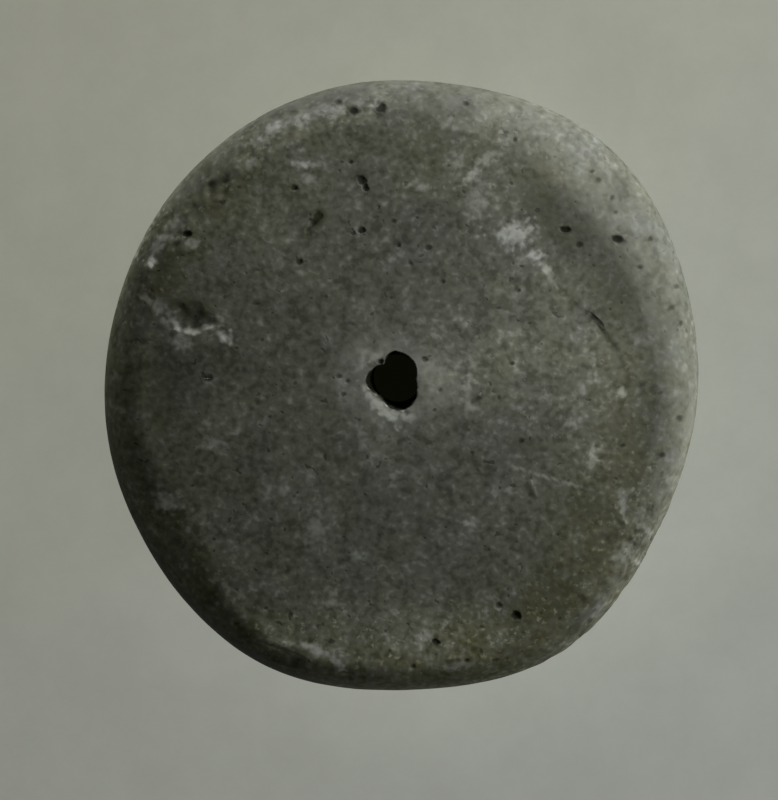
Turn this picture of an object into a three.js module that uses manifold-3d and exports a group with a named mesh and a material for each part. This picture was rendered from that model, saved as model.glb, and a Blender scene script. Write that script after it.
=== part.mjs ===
// A stone spindle whorl: a thick round disc, ground by hand, with a rounded rim and a drilled hole
// for the spindle. It lies on its flat underside. Millimetres, +Z up, the middle of the outline over
// the origin.
import * as THREE from "three";
import { mergeVertices } from "three/addons/utils/BufferGeometryUtils.js";
import Module from "manifold-3d";

const wasm = await Module();
wasm.setup();

// The disc
const diameter = 78.1; // mean width of the outline
const thickness = 14;
const crown = 0.6; // how far the upper face falls from the seat to the shoulder
const shoulderWidth = 5.2; // plan width of the rounding above the widest line
const footWidth = 5.6; // plan width of the rounding below it
const shoulderBreak = 11; // mean angle round the rim's curve, in degrees, at which the faces cut it off

// The hole, which is drilled from both sides and narrows to a waist
const boreWidth = 6.2; // across the waist
const mouthWidth = 6.7; // mean width where the hole opens on the upper face
const underMouthWidth = 7.2; // the same on the underside
const lipRound = 0.2; // rounding of both mouths
const boreX = -0.65; // from the middle of the outline
const boreY = 1;

// The flat ring around the hole, worn by the spindle's swelling and the wound thread
const seatRing = 3.4; // mean width of the ring

// Grinding by hand leaves broad swellings: so many to a turn, so high, with one at that bearing
const outlineSwells = [
  { lobes: 2, height: 0.92, bearing: 73 },
  { lobes: 3, height: 0.29, bearing: 46 },
  { lobes: 4, height: 0.36, bearing: 41 },
  { lobes: 5, height: 0.1, bearing: 27 },
  { lobes: 6, height: 0.23, bearing: -1 },
  { lobes: 7, height: 0.16, bearing: -7 },
];
const mouthSwells = [
  { lobes: 2, height: 0.15, bearing: -79 },
  { lobes: 3, height: 0.22, bearing: 60 },
  { lobes: 4, height: 0.08, bearing: 5 },
];
const seatSwells = [
  { lobes: 2, height: 1, bearing: 170 },
  { lobes: 3, height: 0.3, bearing: 20 },
];
const breakSwells = [{ lobes: 1, height: 5, bearing: 45 }]; // in degrees, added to the shoulder's break

// Where the shoulder was ground wider or narrower than elsewhere
const shoulderBevels = [
  { bearing: 45, spread: 26, extra: 3 },
  { bearing: 212, spread: 15, extra: 3.2 },
  { bearing: 263, spread: 34, extra: -1.6 },
  { bearing: 325, spread: 30, extra: -0.6 },
];

// A flake or a pit lies where a ray meets the stone. The ray comes in at a bearing and a height angle,
// 90 being straight down, and aims at a point at mid height that is reach times the outline's radius
// from the middle. Turn is the bearing of the long side, and lean dips the side to the right of it.
const flakes = [
  // The deep flake on the left of the upper face, steep along its lower edge
  { bearing: 160.2, reach: 0.745, height: 90, turn: -6, length: 5.8, width: 4.4, depth: 0.4, lean: 11 },
  { bearing: 162.5, reach: 0.61, height: 90, turn: -38, length: 2.2, width: 1.5, depth: 0.14, lean: 8 },
  // The broad thin flake on the right, with its step towards the shoulder
  { bearing: 5.5, reach: 0.395, height: 90, turn: 138, length: 19, width: 19, depth: 0.18, lean: 0.7 },
  // The shallow groove above the hole on the left
  { bearing: 118, reach: 0.605, height: 90, turn: 50, length: 3, width: 1.3, depth: 0.28, lean: 0 },
  // The long bruise on the lower left shoulder, and the short one beside it
  { bearing: 247, reach: 0.86, height: 62, turn: -18, length: 10, width: 3, depth: 0.5, lean: 0 },
  { bearing: 259, reach: 0.87, height: 62, turn: 2, length: 5, width: 2.6, depth: 0.35, lean: 0 },
  // Weathered hollows along the upper left shoulder
  { bearing: 97, reach: 0.86, height: 66, turn: 7, length: 6, width: 3, depth: 0.3, lean: 0 },
  { bearing: 110, reach: 0.84, height: 66, turn: 22, length: 5, width: 3, depth: 0.35, lean: 0 },
  { bearing: 122, reach: 0.84, height: 66, turn: 30, length: 4, width: 2.6, depth: 0.3, lean: 0 },
  { bearing: 132, reach: 0.82, height: 66, turn: 46, length: 6, width: 3.2, depth: 0.4, lean: 0 },
  { bearing: 145, reach: 0.84, height: 66, turn: 52, length: 5, width: 3, depth: 0.4, lean: 0 },
  // Nicks in the widest line
  { bearing: 148, reach: 0.9, height: 35, turn: 58, length: 3.4, width: 2.6, depth: 0.35, lean: 0 },
  { bearing: 335, reach: 0.89, height: 34, turn: 70, length: 9, width: 3.4, depth: 0.35, lean: 0 },
  { bearing: 327, reach: 0.91, height: 22, turn: 48, length: 5, width: 4, depth: 0.4, lean: 0 },
  { bearing: 318, reach: 0.88, height: 38, turn: 52, length: 8, width: 3, depth: 0.4, lean: 0 },
  { bearing: 306, reach: 0.9, height: 28, turn: 30, length: 6, width: 2.6, depth: 0.3, lean: 0 },
  // Two flakes on the underside
  { bearing: 75, reach: 0.62, height: -90, turn: 30, length: 8, width: 4, depth: 0.5, lean: 0 },
  { bearing: 262, reach: 0.84, height: -60, turn: 170, length: 9, width: 4, depth: 0.6, lean: 0 },
];
const pits = [
  { bearing: 94, reach: 0.92, height: 90, turn: 70, length: 1.3, width: 1.2, depth: 0.6 },
  { bearing: 99, reach: 0.92, height: 90, turn: 0, length: 1.2, width: 1.1, depth: 0.5 },
  { bearing: 100, reach: 0.68, height: 90, turn: -55, length: 1.7, width: 0.8, depth: 0.45 },
  { bearing: 103, reach: 0.535, height: 90, turn: 0, length: 1, width: 0.9, depth: 0.4 },
  { bearing: 127, reach: 0.525, height: 90, turn: 0, length: 0.9, width: 0.9, depth: 0.4 },
  { bearing: 143, reach: 0.86, height: 90, turn: 0, length: 1.1, width: 0.9, depth: 0.5 },
  { bearing: 44, reach: 0.74, height: 90, turn: 0, length: 1.3, width: 0.9, depth: 0.5 },
  { bearing: 34, reach: 0.86, height: 90, turn: -20, length: 1.6, width: 0.9, depth: 0.5 },
  { bearing: 20.7, reach: 0.68, height: 90, turn: -52, length: 3.4, width: 0.8, depth: 0.35 },
  { bearing: 297, reach: 0.82, height: 90, turn: 0, length: 1.3, width: 1, depth: 0.5 },
  { bearing: 278, reach: 0.83, height: 90, turn: 0, length: 1, width: 0.9, depth: 0.4 },
  { bearing: 177, reach: 0.64, height: 90, turn: 0, length: 1.1, width: 0.8, depth: 0.4 },
];
const flakeSweep = 3; // how shallow a flake's curve is: its full depth as a multiple of the cut
const pitSweep = 1.5;

// Fineness of the surface
const turnSteps = 90;
const boreSteps = 5;
const lipSteps = 2;
const faceSteps = 6;
const rimSteps = 6;
const undersideSteps = 4;
const flakeDetail = 3;
const pitDetail = 1;

const radians = THREE.MathUtils.degToRad;
const mix = THREE.MathUtils.lerp;

// The sum of the swellings at a bearing.
function swell(swells, bearing) {
  return swells.reduce((sum, s) => sum + s.height * Math.cos(s.lobes * radians(bearing - s.bearing)), 0);
}

// The widening or narrowing of the shoulder at a bearing.
function bevel(bearing) {
  return shoulderBevels.reduce((sum, b) => {
    const apart = ((bearing - b.bearing + 540) % 360) - 180;
    return sum + b.extra * Math.exp(-((apart / b.spread) ** 2));
  }, 0);
}

const outlineRadius = (bearing) => diameter / 2 + swell(outlineSwells, bearing);
const mouthRadius = (bearing) => mouthWidth / 2 + swell(mouthSwells, bearing);
const seatRadius = (bearing) => mouthWidth / 2 + seatRing + swell(seatSwells, bearing);

// A point at a bearing, a radius and a height. Its centre slides from the hole's axis, at 0, to the
// outline's, at 1.
function pointAt(bearing, radius, height, slide) {
  return new THREE.Vector3(
    mix(boreX, 0, slide) + radius * Math.cos(radians(bearing)),
    mix(boreY, 0, slide) + radius * Math.sin(radians(bearing)),
    height,
  );
}

// Half of the rim's section at a bearing, from a face's edge to the widest line. It is a quarter of an
// ellipse that the face cuts off, so a faint edge is left between them, plainest where it breaks latest.
function rimArc(bearing, width, faceHeight) {
  const middle = thickness / 2;
  const start = radians(shoulderBreak + swell(breakSwells, bearing));
  const reach = width / (1 - Math.sin(start));
  const rise = (faceHeight - middle) / Math.cos(start);
  return Array.from({ length: rimSteps + 1 }, (_, step) => {
    const angle = mix(start, Math.PI / 2, step / rimSteps);
    const radius = outlineRadius(bearing) - reach * (1 - Math.sin(angle));
    return pointAt(bearing, radius, middle + rise * Math.cos(angle), 1);
  });
}

// A rounded mouth at a bearing, from the hole's wall out to the face at that height. Up is 1 for the
// upper face and -1 for the underside.
function lipArc(bearing, radius, faceHeight, up) {
  return Array.from({ length: lipSteps + 1 }, (_, step) => {
    const angle = (Math.PI / 2) * (step / lipSteps);
    const out = radius + lipRound * (1 - Math.cos(angle));
    return pointAt(bearing, out, faceHeight - up * lipRound * (1 - Math.sin(angle)), 0);
  });
}

// The closed section at a bearing: up the hole, out over the upper face, round the rim and back in
// along the underside.
function section(bearing) {
  const underMouth = underMouthWidth / 2;
  const mouth = mouthRadius(bearing);
  const wall = Array.from({ length: boreSteps - 1 }, (_, step) => {
    const height = mix(lipRound, thickness - lipRound, (step + 1) / boreSteps);
    const fromWaist = (2 * height) / thickness - 1;
    const radius = mix(boreWidth / 2, fromWaist > 0 ? mouth : underMouth, fromWaist ** 2);
    return pointAt(bearing, radius, height, 0);
  });
  const upperLip = lipArc(bearing, mouth, thickness, 1);
  const faceStart = seatRadius(bearing);
  const faceWidth = outlineRadius(bearing) - (shoulderWidth + bevel(bearing)) - faceStart;
  const face = Array.from({ length: faceSteps }, (_, step) => {
    const out = step / faceSteps;
    return pointAt(bearing, faceStart + faceWidth * out, thickness - crown * out ** 2, out);
  });
  const shoulder = rimArc(bearing, shoulderWidth + bevel(bearing), thickness - crown);
  const foot = rimArc(bearing, footWidth, 0).reverse().slice(1);
  const footStart = outlineRadius(bearing) - footWidth;
  const underside = Array.from({ length: undersideSteps }, (_, step) => {
    const inward = (step + 1) / undersideSteps;
    return pointAt(bearing, mix(footStart, underMouth + lipRound, inward), 0, 1 - inward);
  });
  const lowerLip = lipArc(bearing, underMouth, 0, -1).reverse().slice(1);
  return [...wall, ...upperLip, ...face, ...shoulder, ...foot, ...underside, ...lowerLip];
}

// The sections at every bearing joined into one closed surface.
function discGeometry() {
  const sections = Array.from({ length: turnSteps }, (_, step) => section((360 * step) / turnSteps));
  const rows = sections[0].length;
  const index = [];
  for (let turn = 0; turn < turnSteps; turn++) {
    const here = turn * rows;
    const next = ((turn + 1) % turnSteps) * rows;
    for (let row = 0; row < rows; row++) {
      const beside = (row + 1) % rows;
      index.push(here + row, here + beside, next + beside, here + row, next + beside, next + row);
    }
  }
  return new THREE.BufferGeometry().setFromPoints(sections.flat()).setIndex(index);
}

// A closed geometry as a solid that can be cut.
function solidFrom(geometry) {
  const bare = geometry.clone();
  bare.deleteAttribute("normal");
  bare.deleteAttribute("uv");
  const merged = mergeVertices(bare, 1e-4);
  return new wasm.Manifold(
    new wasm.Mesh({
      numProp: 3,
      vertProperties: merged.attributes.position.array,
      triVerts: new Uint32Array(merged.index.array),
    }),
  );
}

// The ellipsoid that scoops out a flake or a pit. The ray finds its place, whatever the disc's size.
function scoop(disc, mark, sweep, detail) {
  const height = radians(mark.height);
  const target = pointAt(mark.bearing, mark.reach * outlineRadius(mark.bearing), thickness / 2, 1);
  const outward = pointAt(mark.bearing, Math.cos(height), Math.sin(height), 1);
  const start = target.clone().addScaledVector(outward, diameter + thickness);
  const [hit] = new THREE.Raycaster(start, outward.clone().negate()).intersectObject(disc);

  const normal = hit.face.normal;
  const along = pointAt(mark.turn, 1, 0, 1);
  along.addScaledVector(normal, -along.dot(normal)).normalize();
  const across = new THREE.Vector3().crossVectors(normal, along);
  const deep = mark.depth * sweep;
  const spread = 2 * Math.sqrt(1 - ((sweep - 1) / sweep) ** 2);
  const ball = new THREE.IcosahedronGeometry(1, detail)
    .scale(mark.length / spread, mark.width / spread, deep)
    .translate(0, 0, deep - mark.depth)
    .rotateX(radians(mark.lean ?? 0))
    .applyMatrix4(new THREE.Matrix4().makeBasis(along, across, normal).setPosition(hit.point));
  return solidFrom(ball);
}

// The finished stone: the ground disc with its flakes and pits scooped out, set down over the origin.
function whorlGeometry() {
  const ground = discGeometry();
  const disc = new THREE.Mesh(ground);
  const scoops = [
    ...flakes.map((flake) => scoop(disc, flake, flakeSweep, flakeDetail)),
    ...pits.map((pit) => scoop(disc, pit, pitSweep, pitDetail)),
  ];
  const stone = scoops.reduce((left, cut) => left.subtract(cut), solidFrom(ground));
  const { vertProperties, triVerts } = stone.getMesh();
  const geometry = new THREE.BufferGeometry()
    .setAttribute("position", new THREE.BufferAttribute(vertProperties, 3))
    .setIndex(new THREE.BufferAttribute(triVerts, 1));
  geometry.computeBoundingBox();
  const { min, max } = geometry.boundingBox;
  geometry.translate(-(min.x + max.x) / 2, -(min.y + max.y) / 2, -min.z);
  geometry.computeVertexNormals();
  return geometry;
}

function makeWhorl() {
  const stone = new THREE.MeshStandardMaterial({ color: 0x5c5d53, roughness: 0.85, metalness: 0 });
  const whorl = new THREE.Mesh(whorlGeometry(), stone);
  whorl.name = "whorl";
  return whorl;
}

const part = new THREE.Group();
part.add(makeWhorl());

export default part;
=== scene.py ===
import math

import bmesh
import bpy
import numpy as np
from mathutils import Matrix, Vector, noise
from mathutils.bvhtree import BVHTree


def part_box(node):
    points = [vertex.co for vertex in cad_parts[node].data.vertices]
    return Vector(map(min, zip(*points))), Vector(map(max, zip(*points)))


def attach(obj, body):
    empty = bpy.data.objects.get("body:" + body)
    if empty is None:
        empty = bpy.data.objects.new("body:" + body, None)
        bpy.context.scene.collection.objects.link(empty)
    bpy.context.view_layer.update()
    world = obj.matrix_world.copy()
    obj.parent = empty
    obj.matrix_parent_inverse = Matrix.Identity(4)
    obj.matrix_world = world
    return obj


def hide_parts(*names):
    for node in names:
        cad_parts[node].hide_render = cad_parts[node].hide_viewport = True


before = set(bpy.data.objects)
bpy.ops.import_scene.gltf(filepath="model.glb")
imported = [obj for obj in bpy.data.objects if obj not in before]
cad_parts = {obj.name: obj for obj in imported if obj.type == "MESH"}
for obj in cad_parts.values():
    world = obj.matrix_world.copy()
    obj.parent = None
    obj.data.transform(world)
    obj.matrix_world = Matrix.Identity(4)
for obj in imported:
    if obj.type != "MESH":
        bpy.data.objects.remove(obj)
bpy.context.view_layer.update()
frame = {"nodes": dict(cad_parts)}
cadLow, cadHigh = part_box("whorl")
mm = 0.001
print("frame loaded:", ", ".join(frame["nodes"]))

# The ground disc, in millimetres and degrees. It follows the solid, but the mouth of the hole is more
# uneven. A swelling is its lobes to a turn, its height and the bearing of one lobe. A bevel is its
# bearing, its spread and its extra width.
disc = {
    "width": 78.1,
    "thickness": (cadHigh.z - cadLow.z) / mm,
    "crown": 0.6,
    "shoulder": 5.2,
    "foot": 5.6,
    "rimBreak": 11.0,
    "boreWidth": 6.2,
    "mouthWidth": 6.5,
    "underMouthWidth": 7.2,
    "lipRound": 0.15,
    "boreX": -0.65,
    "boreY": 1.0,
    "seatRing": 3.4,
    "outlineSwells": [
        (2, 0.92, 73), (3, 0.29, 46), (4, 0.36, 41), (5, 0.1, 27), (6, 0.23, -1), (7, 0.16, -7),
    ],
    "mouthSwells": [(2, 0.26, -79), (3, 0.36, 60), (4, 0.14, 5), (5, 0.08, 36)],
    "mouthTooth": {"bearing": 122, "spread": 12, "reach": 0.6},
    "seatSwells": [(2, 1.0, 170), (3, 0.3, 20)],
    "breakSwells": [(1, 5.0, 45)],
    "bevels": [(45, 26, 3.0), (212, 15, 3.2), (263, 34, -1.6), (325, 30, -0.6)],
}

# How far apart the points of the mesh stand, in millimetres, and the fewest to a ring
fineness = {"face": 0.31, "rim": 0.34, "foot": 0.6, "underside": 0.9, "bore": 0.45, "lip": 0.25}
fewestPoints = 48


def swell(swells, bearing):
    return sum(height * np.cos(np.radians(lobes * (bearing - peak))) for lobes, height, peak in swells)


def spreadsFrom(bearing, peak, spread):
    # how many spreads a bearing lies from a peak, the short way round
    return ((bearing - peak + 540) % 360 - 180) / spread


def bevel(bearing):
    return sum(
        extra * np.exp(-(spreadsFrom(bearing, peak, spread) ** 2)) for peak, spread, extra in disc["bevels"]
    )


def outlineRadius(bearing):
    return disc["width"] / 2 + swell(disc["outlineSwells"], bearing)


def mouthRadius(bearing):
    tooth = disc["mouthTooth"]
    apart = spreadsFrom(bearing, tooth["bearing"], tooth["spread"])
    toothHere = tooth["reach"] * np.exp(-(apart**2))
    return disc["mouthWidth"] / 2 + swell(disc["mouthSwells"], bearing) - toothHere


def seatRadius(bearing):
    return disc["mouthWidth"] / 2 + disc["seatRing"] + swell(disc["seatSwells"], bearing)


def pointsAt(bearing, radius, height, slide):
    # the centre slides from the hole's axis, at 0, to the outline's, at 1
    turn = np.radians(bearing)
    x = disc["boreX"] * (1 - slide) + radius * np.cos(turn)
    y = disc["boreY"] * (1 - slide) + radius * np.sin(turn)
    return np.stack([x, y, height + 0 * x], axis=1)


# Each kind of row is a closed ring of points at the bearings given
def wallRow(bearing, height):
    fromWaist = 2 * height / disc["thickness"] - 1
    mouth = mouthRadius(bearing) if fromWaist > 0 else disc["underMouthWidth"] / 2
    radius = disc["boreWidth"] / 2 * (1 - fromWaist**2) + mouth * fromWaist**2
    return pointsAt(bearing, radius, height, 0)


def lipRow(bearing, angle, upper=True):
    # angle 0 is the hole's wall and 90 the face
    away, down = 1 - math.cos(math.radians(angle)), 1 - math.sin(math.radians(angle))
    mouth = mouthRadius(bearing) if upper else disc["underMouthWidth"] / 2
    height = disc["thickness"] - disc["lipRound"] * down if upper else disc["lipRound"] * down
    return pointsAt(bearing, mouth + disc["lipRound"] * away, height, 0)


def seatRow(bearing, out):
    start = mouthRadius(bearing) + disc["lipRound"]
    return pointsAt(bearing, start + (seatRadius(bearing) - start) * out, disc["thickness"], 0)


def faceRow(bearing, out):
    start = seatRadius(bearing)
    width = outlineRadius(bearing) - disc["shoulder"] - bevel(bearing) - start
    return pointsAt(bearing, start + width * out, disc["thickness"] - disc["crown"] * out**2, out)


def rimRow(bearing, step, upper=True):
    # a quarter of an ellipse that the face cuts off at the rim's break, at 0, down to the widest line, at 1
    middle = disc["thickness"] / 2
    edge = np.radians(disc["rimBreak"] + swell(disc["breakSwells"], bearing))
    angle = edge + (math.pi / 2 - edge) * step
    width = disc["shoulder"] + bevel(bearing) if upper else disc["foot"]
    rise = (middle - disc["crown"] if upper else -middle) / np.cos(edge)
    reach = width / (1 - np.sin(edge)) * (1 - np.sin(angle))
    return pointsAt(bearing, outlineRadius(bearing) - reach, middle + rise * np.cos(angle), 1)


def undersideRow(bearing, inward):
    start = outlineRadius(bearing) - disc["foot"]
    end = disc["underMouthWidth"] / 2 + disc["lipRound"]
    return pointsAt(bearing, start + (end - start) * inward, 0.0, 1 - inward)


def ringRows():
    # the rows of the closed section: up the hole, over the face, round the rim and back underneath
    half = disc["width"] / 2
    mouth = disc["mouthWidth"] / 2
    seat = mouth + disc["seatRing"]
    faceEdge = half - disc["shoulder"]
    lip = disc["lipRound"]
    rimArc = (disc["shoulder"] + disc["thickness"] / 2) * 0.8  # a quarter round, a little flattened
    lipArc = lip * 1.6

    def spread(low, high, length, gap, ends=False):
        count = max(2, round(length / gap))
        steps = np.linspace(low, high, count + 1)
        return steps if ends else steps[1:-1]

    def radiusBetween(low, high, steps):
        return [low + (high - low) * step for step in steps]

    rows = []

    def add(maker, steps, radii, gap, **which):
        for step, radius in zip(steps, radii):
            rows.append((maker, step, which, max(fewestPoints, round(math.tau * radius / gap))))

    steps = spread(lip, disc["thickness"] - lip, disc["thickness"], fineness["bore"])
    add(wallRow, steps, [mouth] * len(steps), fineness["bore"])
    steps = spread(0, 90, lipArc, fineness["lip"], ends=True)
    add(lipRow, steps, [mouth] * len(steps), fineness["lip"])
    steps = spread(0, 1, seat - mouth, fineness["face"])
    add(seatRow, steps, radiusBetween(mouth, seat, steps), fineness["face"])
    steps = spread(0, 1, faceEdge - seat, fineness["face"], ends=True)[:-1]
    add(faceRow, steps, radiusBetween(seat, faceEdge, steps), fineness["face"])
    steps = spread(0, 1, rimArc, fineness["rim"], ends=True)
    add(rimRow, steps, [half] * len(steps), fineness["rim"])
    steps = spread(1, 0, rimArc, fineness["foot"], ends=True)[1:]
    add(rimRow, steps, [half] * len(steps), fineness["foot"], upper=False)
    steps = spread(0, 1, faceEdge - mouth, fineness["underside"])
    add(undersideRow, steps, radiusBetween(faceEdge, mouth, steps), fineness["underside"])
    steps = spread(90, 0, lipArc, fineness["bore"], ends=True)
    add(lipRow, steps, [mouth] * len(steps), fineness["bore"], upper=False)
    return rows


def stitch(first, firstAngles, second, secondAngles):
    # triangles between two rings, whatever their counts: the ring whose next point comes sooner steps on
    near, far = len(first), len(second)
    nearNext = firstAngles + 360 / near
    farNext = secondAngles + 360 / far
    across = np.searchsorted(farNext, nearNext, "left")
    behind = np.searchsorted(nearNext, farNext, "right")
    one = np.stack([first, second[across % far], np.roll(first, -1)], axis=1)
    two = np.stack([first[behind % near], second, np.roll(second, -1)], axis=1)
    return np.concatenate([one, two])


def discSurface():
    places, rings, angles = [], [], []
    total = 0
    for number, (maker, step, which, count) in enumerate(ringRows()):
        halfStep = 0.5 * (number % 2)  # on every other ring
        bearings = (np.arange(count) + halfStep) * 360 / count
        places.append(maker(bearings, step, **which))
        rings.append(total + np.arange(count))
        angles.append(bearings)
        total += count
    triangles = [
        stitch(rings[k], angles[k], rings[(k + 1) % len(rings)], angles[(k + 1) % len(rings)])
        for k in range(len(rings))
    ]
    return np.concatenate(places), np.concatenate(triangles)


def placed(name, data):
    thing = bpy.data.objects.new(name, data)
    bpy.context.scene.collection.objects.link(thing)
    return thing


def meshFrom(name, places, triangles):
    mesh = bpy.data.meshes.new(name)
    mesh.from_pydata((places * mm).tolist(), [], triangles.tolist())
    mesh.validate()
    mesh.update()
    return mesh


def readVectors(items, name):
    flat = np.empty(len(items) * 3, np.float32)
    items.foreach_get(name, flat)
    return flat.reshape(-1, 3).astype(float)


def writePlaces(mesh, places):
    mesh.vertices.foreach_set("co", (places * mm).astype(np.float32).ravel())
    mesh.update()


# Flakes struck off the stone, in millimetres. Each lies where a ray meets the stone: the ray comes in
# at a bearing and a height angle, and aims at reach times the outline's radius at mid height. Turn is
# the bearing of the long side, lean dips the side to the right of it, and ragged tears the edge.
flakeKeys = ("bearing", "reach", "height", "turn", "length", "width", "depth", "lean", "ragged")
flakes = [
    (160.2, 0.745, 90, -6, 5.8, 4.4, 0.4, 11, 0.16),
    (162.5, 0.61, 90, -38, 2.2, 1.5, 0.14, 8, 0.2),
    (118, 0.605, 90, 50, 3.0, 1.3, 0.28, 0, 0.3),
    (247, 0.86, 62, -18, 10.0, 3.0, 0.5, 0, 0.12),
    (259, 0.87, 62, 2, 5.0, 2.6, 0.35, 0, 0.2),
    (97, 0.86, 66, 7, 6.0, 3.0, 0.3, 0, 0.3),
    (110, 0.84, 66, 22, 5.0, 3.0, 0.35, 0, 0.3),
    (122, 0.84, 66, 30, 4.0, 2.6, 0.3, 0, 0.3),
    (132, 0.82, 66, 46, 6.0, 3.2, 0.4, 0, 0.3),
    (145, 0.84, 66, 52, 5.0, 3.0, 0.4, 0, 0.3),
    (148, 0.9, 35, 58, 3.4, 2.6, 0.35, 0, 0.2),
    (335, 0.89, 34, 70, 9.0, 3.4, 0.35, 0, 0.25),
    (327, 0.91, 22, 48, 5.0, 4.0, 0.4, 0, 0.25),
    (318, 0.88, 38, 52, 8.0, 3.0, 0.4, 0, 0.25),
    (306, 0.9, 28, 30, 6.0, 2.6, 0.3, 0, 0.25),
    (75, 0.62, -90, 30, 8.0, 4.0, 0.5, 0, 0.15),
    (262, 0.84, -60, 170, 9.0, 4.0, 0.6, 0, 0.15),
]

# Single pits in the upper face: across and up from the middle, turn, length, width and depth
pitKeys = ("x", "y", "turn", "length", "width", "depth")
pits = [
    (-2.5, 35.6, 20, 1.7, 1.3, 0.4), (-5.9, 35.3, 0, 1.7, 1.2, 0.45), (-7.9, 36.4, 0, 1.0, 0.7, 0.25),
    (-4.9, 26.5, -55, 1.5, 1.1, 0.35), (-4.4, 25.5, -70, 1.3, 0.9, 0.35),
    (-6.3, 28.8, 0, 0.8, 0.7, 0.2), (-13.5, 25.5, 0, 1.1, 0.8, 0.3), (-4.9, 20.1, 0, 1.2, 1.0, 0.35),
    (-5.9, 19.7, 0, 0.8, 0.6, 0.2), (-12.8, 16.1, 0, 1.0, 1.0, 0.3), (-27.2, 19.6, 10, 1.6, 0.9, 0.4),
    (3.6, 17.9, 0, 1.0, 0.8, 0.25), (-0.2, 18.2, 0, 0.8, 0.8, 0.25), (-0.8, 21.3, 0, 0.7, 0.6, 0.2),
    (1.4, 15.9, -50, 1.0, 0.6, 0.2), (5.5, 13.6, 0, 0.7, 0.7, 0.2), (8.3, 36.2, 0, 1.0, 0.8, 0.25),
    (14.6, 31.6, 0, 0.8, 0.7, 0.25), (21.0, 20.2, 0, 1.7, 1.0, 0.4), (27.6, 19.0, -15, 2.0, 1.1, 0.45),
    (22.8, 18.3, 0, 1.1, 0.9, 0.22), (31.8, 19.0, 0, 0.9, 0.8, 0.25), (30.5, 15.4, 0, 0.9, 0.7, 0.25),
    (15.1, 12.5, 0, 0.6, 0.6, 0.2), (14.2, 3.2, 0, 0.8, 0.7, 0.25), (3.1, 3.7, 0, 1.0, 0.9, 0.25),
    (5.1, -0.2, 0, 0.7, 0.7, 0.2), (10.0, -1.2, 0, 0.9, 0.8, 0.2), (15.4, -6.7, 0, 0.8, 0.7, 0.25),
    (16.6, -11.4, 0, 0.6, 0.6, 0.2), (28.3, -7.3, 0, 0.8, 0.7, 0.25), (33.3, -8.5, 0, 1.0, 0.9, 0.3),
    (14.8, -29.0, 0, 1.5, 1.3, 0.45), (12.6, -27.7, 0, 1.0, 0.9, 0.25),
    (4.5, -32.4, -30, 1.3, 1.0, 0.35), (8.5, -34.8, 0, 0.9, 0.7, 0.25), (1.6, -35.6, 0, 0.8, 0.7, 0.25),
    (-24.4, 1.2, 0, 1.5, 1.1, 0.2), (-7.8, 1.5, 0, 0.8, 0.7, 0.2), (-6.7, 0.9, 0, 0.7, 0.6, 0.2),
    (-7.2, -0.8, 0, 0.8, 0.7, 0.2), (-2.45, 3.4, 30, 0.9, 0.75, 0.4), (24.95, 8.8, -48, 3.0, 0.7, 0.24),
    (24.4, 27.6, 0, 0.7, 0.6, 0.25), (35.2, 12.9, 0, 0.8, 0.7, 0.2), (34.5, 10.2, 30, 1.2, 0.8, 0.2),
    (35.7, 8.2, 60, 0.8, 0.6, 0.2), (35.6, -3.8, 0, 1.0, 0.9, 0.25), (-10.6, 21.6, 70, 2.6, 1.3, 0.2),
    (-11.6, 19.9, 65, 2.0, 1.1, 0.12), (28.2, -17.3, -35, 2.4, 0.9, 0.12),
    (29.5, -19.5, -42, 2.9, 0.9, 0.14), (23.4, -26.7, -40, 1.7, 0.8, 0.12),
    (31.9, -15.7, -70, 2.2, 0.9, 0.12), (25.2, 26.5, 0, 0.8, 0.7, 0.2), (26.9, 24.2, 60, 1.0, 0.6, 0.2),
    (27.4, 22.4, 0, 0.7, 0.6, 0.2),
]
rayStart = 0.1  # how far off a mark's ray starts, in metres
sharpFlakes = 2  # the first flakes have the crispest walls
sweep = {"flake": 3.0, "pit": 1.5}  # the full depth of a scoop's curve, as a multiple of its cut
softness = {"flake": 0.08, "pit": 0.25}  # how far wear has rounded a scoop's edge

# The broad thin flake on the right: a step along part of a wide circle, deepest where it faces that
# bearing, that rises back to the face inwards
ledge = {
    "x": 8.1, "y": -6.4, "radius": 22.8, "bearing": 38, "spread": 13,
    "depth": 0.18, "rise": 11.0, "riseCurve": 1.5, "wall": 0.5, "tear": 0.3, "tearSize": 2.4,
}

# Where the skin is weathered rough: bearing, spread, radius in parts of the outline's, its spread and
# the amount
roughPlaces = [
    (98, 14, 0.93, 0.05, 0.8), (122, 18, 0.92, 0.06, 1.0), (145, 12, 0.92, 0.06, 0.9),
    (305, 12, 0.97, 0.05, 0.8), (322, 16, 0.96, 0.08, 1.0), (342, 10, 0.95, 0.06, 0.8),
    (60, 20, 0.88, 0.06, 0.45), (15, 15, 0.9, 0.07, 0.4), (280, 20, 0.92, 0.06, 0.35),
]
skin = {
    "swellSize": 11.0, "swellHeight": 0.07,  # the unevenness that hand grinding leaves
    "waveSize": 3.2, "waveHeight": 0.025,
    "roughSize": 1.5, "roughHeight": 0.16,
    "tearSize": 1.3,  # the scale of the tears along a flake's edge, and along a pit's
    "pitTearSize": 0.6, "pitTear": 0.3,
    "mouthTearSize": 0.7, "mouthTear": 0.28, "mouthTearReach": 0.8, "mouthTearDepth": 2.0,
    "calmHeight": 0.05, "calmShare": 0.2,  # the underside and the ring round the hole stay even
}

# How far past a mark the mesh is made finer, in millimetres, and the half length of a larger pit
closer = {"marks": 0.3, "mouth": 0.6, "largerPits": 0.1, "largerPit": 0.55}

# Painted shade that darkens the hole and the pits, with some dirt in the pits
hollow = {
    "holePast": 0.08, "holeFade": 0.2, "holeShade": 0.4,
    "pitReach": 1.5, "pitTear": 0.35, "pitTearSize": 0.5,
    "shallowest": 0.3, "perDepth": 1.2,
}

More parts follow.
